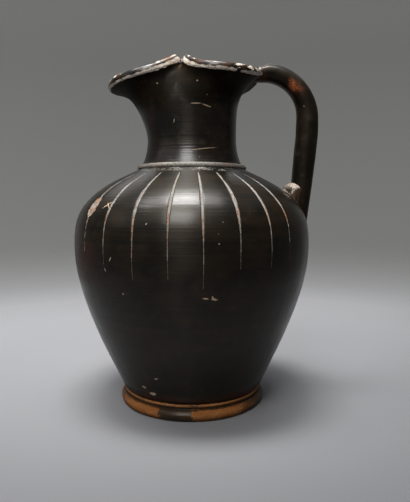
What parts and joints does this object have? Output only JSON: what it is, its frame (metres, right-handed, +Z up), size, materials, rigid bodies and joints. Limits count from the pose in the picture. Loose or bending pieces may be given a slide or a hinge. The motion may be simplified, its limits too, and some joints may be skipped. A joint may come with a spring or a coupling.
{
  "type": "oinochoe jug",
  "caption": "Black-gloss ceramic jug with a trefoil pouring mouth, a high loop handle, an ovoid belly and a ring foot, for pouring liquids by hand.",
  "frame": {"origin": "centre of the foot's resting face, on the jug's axis", "axes": "+Z up along the jug's axis, +X towards the handle, -X towards the pouring lobe"},
  "size_m": [0.1457, 0.1396, 0.2027],
  "materials": {
    "black_gloss": "satin black slip, fired to a soft gloss",
    "bare_clay": "bare orange-brown fired clay",
    "luting_slip": "matt fired clay slip"
  },
  "bodies": {
    "root": {"body": "black_gloss", "foot": "bare_clay", "foot_bead": "bare_clay", "foot_slip": "luting_slip", "neck_and_mouth": "black_gloss", "neck_ring": "black_gloss", "neck_slip": "luting_slip", "handle": "black_gloss", "handle_collar": "black_gloss", "handle_root_slip": "luting_slip", "handle_top_slip": "luting_slip"}
  },
  "joints": []
}
